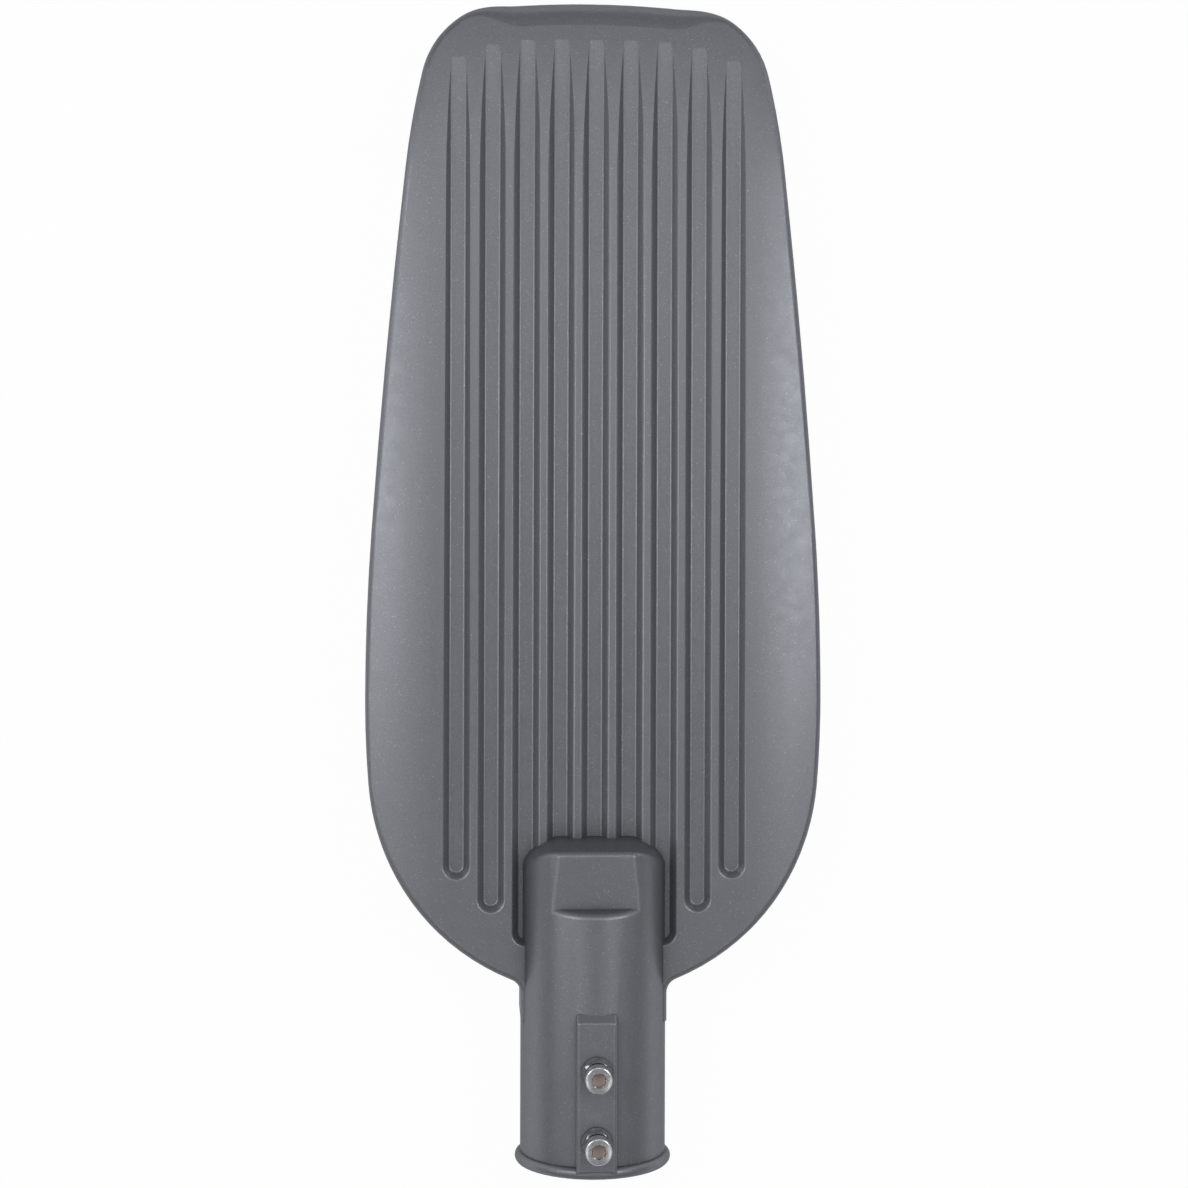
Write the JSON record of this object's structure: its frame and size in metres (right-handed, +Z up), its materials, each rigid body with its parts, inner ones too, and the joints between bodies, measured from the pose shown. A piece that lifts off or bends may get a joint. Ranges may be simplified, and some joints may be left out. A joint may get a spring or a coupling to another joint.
{
  "type": "LED street light head",
  "caption": "Die-cast LED street light head with a grooved back, a hooded spigot tube for a 60 mm pole and clamp screws.",
  "frame": {"origin": "centre of the spigot mouth, on the axis of the bore", "axes": "+Y along the bore towards the tip of the head, +Z up through the grooved back, +X across"},
  "size_m": [0.231, 0.589, 0.0969],
  "materials": {
    "housing_coat": "fine textured powder coat",
    "frame_coat": "fine textured powder coat",
    "bolt_steel": "bright stainless",
    "screw_steel": "stainless",
    "lens_clear": "clear moulded polycarbonate",
    "gasket_silicone": "silicone",
    "pad_grey": "thermal silicone",
    "board_white": "white solder mask on metal core",
    "chip_phosphor": "phosphor",
    "connector_white": "moulded nylon",
    "driver_metal": "extruded",
    "driver_plastic": "moulded",
    "terminal_plastic": "moulded nylon",
    "surge_plastic": "moulded",
    "gland_nylon": "nylon",
    "seal_rubber": "rubber",
    "brass": "plated",
    "lead_sheath": "pvc"
  },
  "bodies": {
    "root": {"housing": "housing_coat", "clamp_bolt_outer": "bolt_steel", "clamp_bolt_inner": "bolt_steel", "lock_nut_outer": "bolt_steel", "lock_nut_inner": "bolt_steel", "thermal_pad": "pad_grey", "led_board": "board_white", "led_chips": "chip_phosphor", "board_connector": "connector_white", "board_screws": "screw_steel", "lens_plate": "lens_clear", "lens_gasket": "gasket_silicone", "lens_frame": "frame_coat", "lens_frame_screws": "screw_steel", "driver_cover": "frame_coat", "driver_cover_gasket": "gasket_silicone", "driver_cover_screws": "screw_steel", "driver_case": "driver_metal", "driver_input_cap": "driver_plastic", "driver_output_cap": "driver_plastic", "driver_screws": "screw_steel", "terminal_block": "terminal_plastic", "terminal_block_screws": "brass", "surge_protector": "surge_plastic", "earth_screw": "brass", "gland_body": "gland_nylon", "gland_locknut": "gland_nylon", "gland_seal": "seal_rubber", "gland_cap_nut": "gland_nylon", "cable_clamp": "gland_nylon", "cable_clamp_screws": "screw_steel", "input_lead": "lead_sheath", "output_lead": "lead_sheath"}
  },
  "joints": []
}
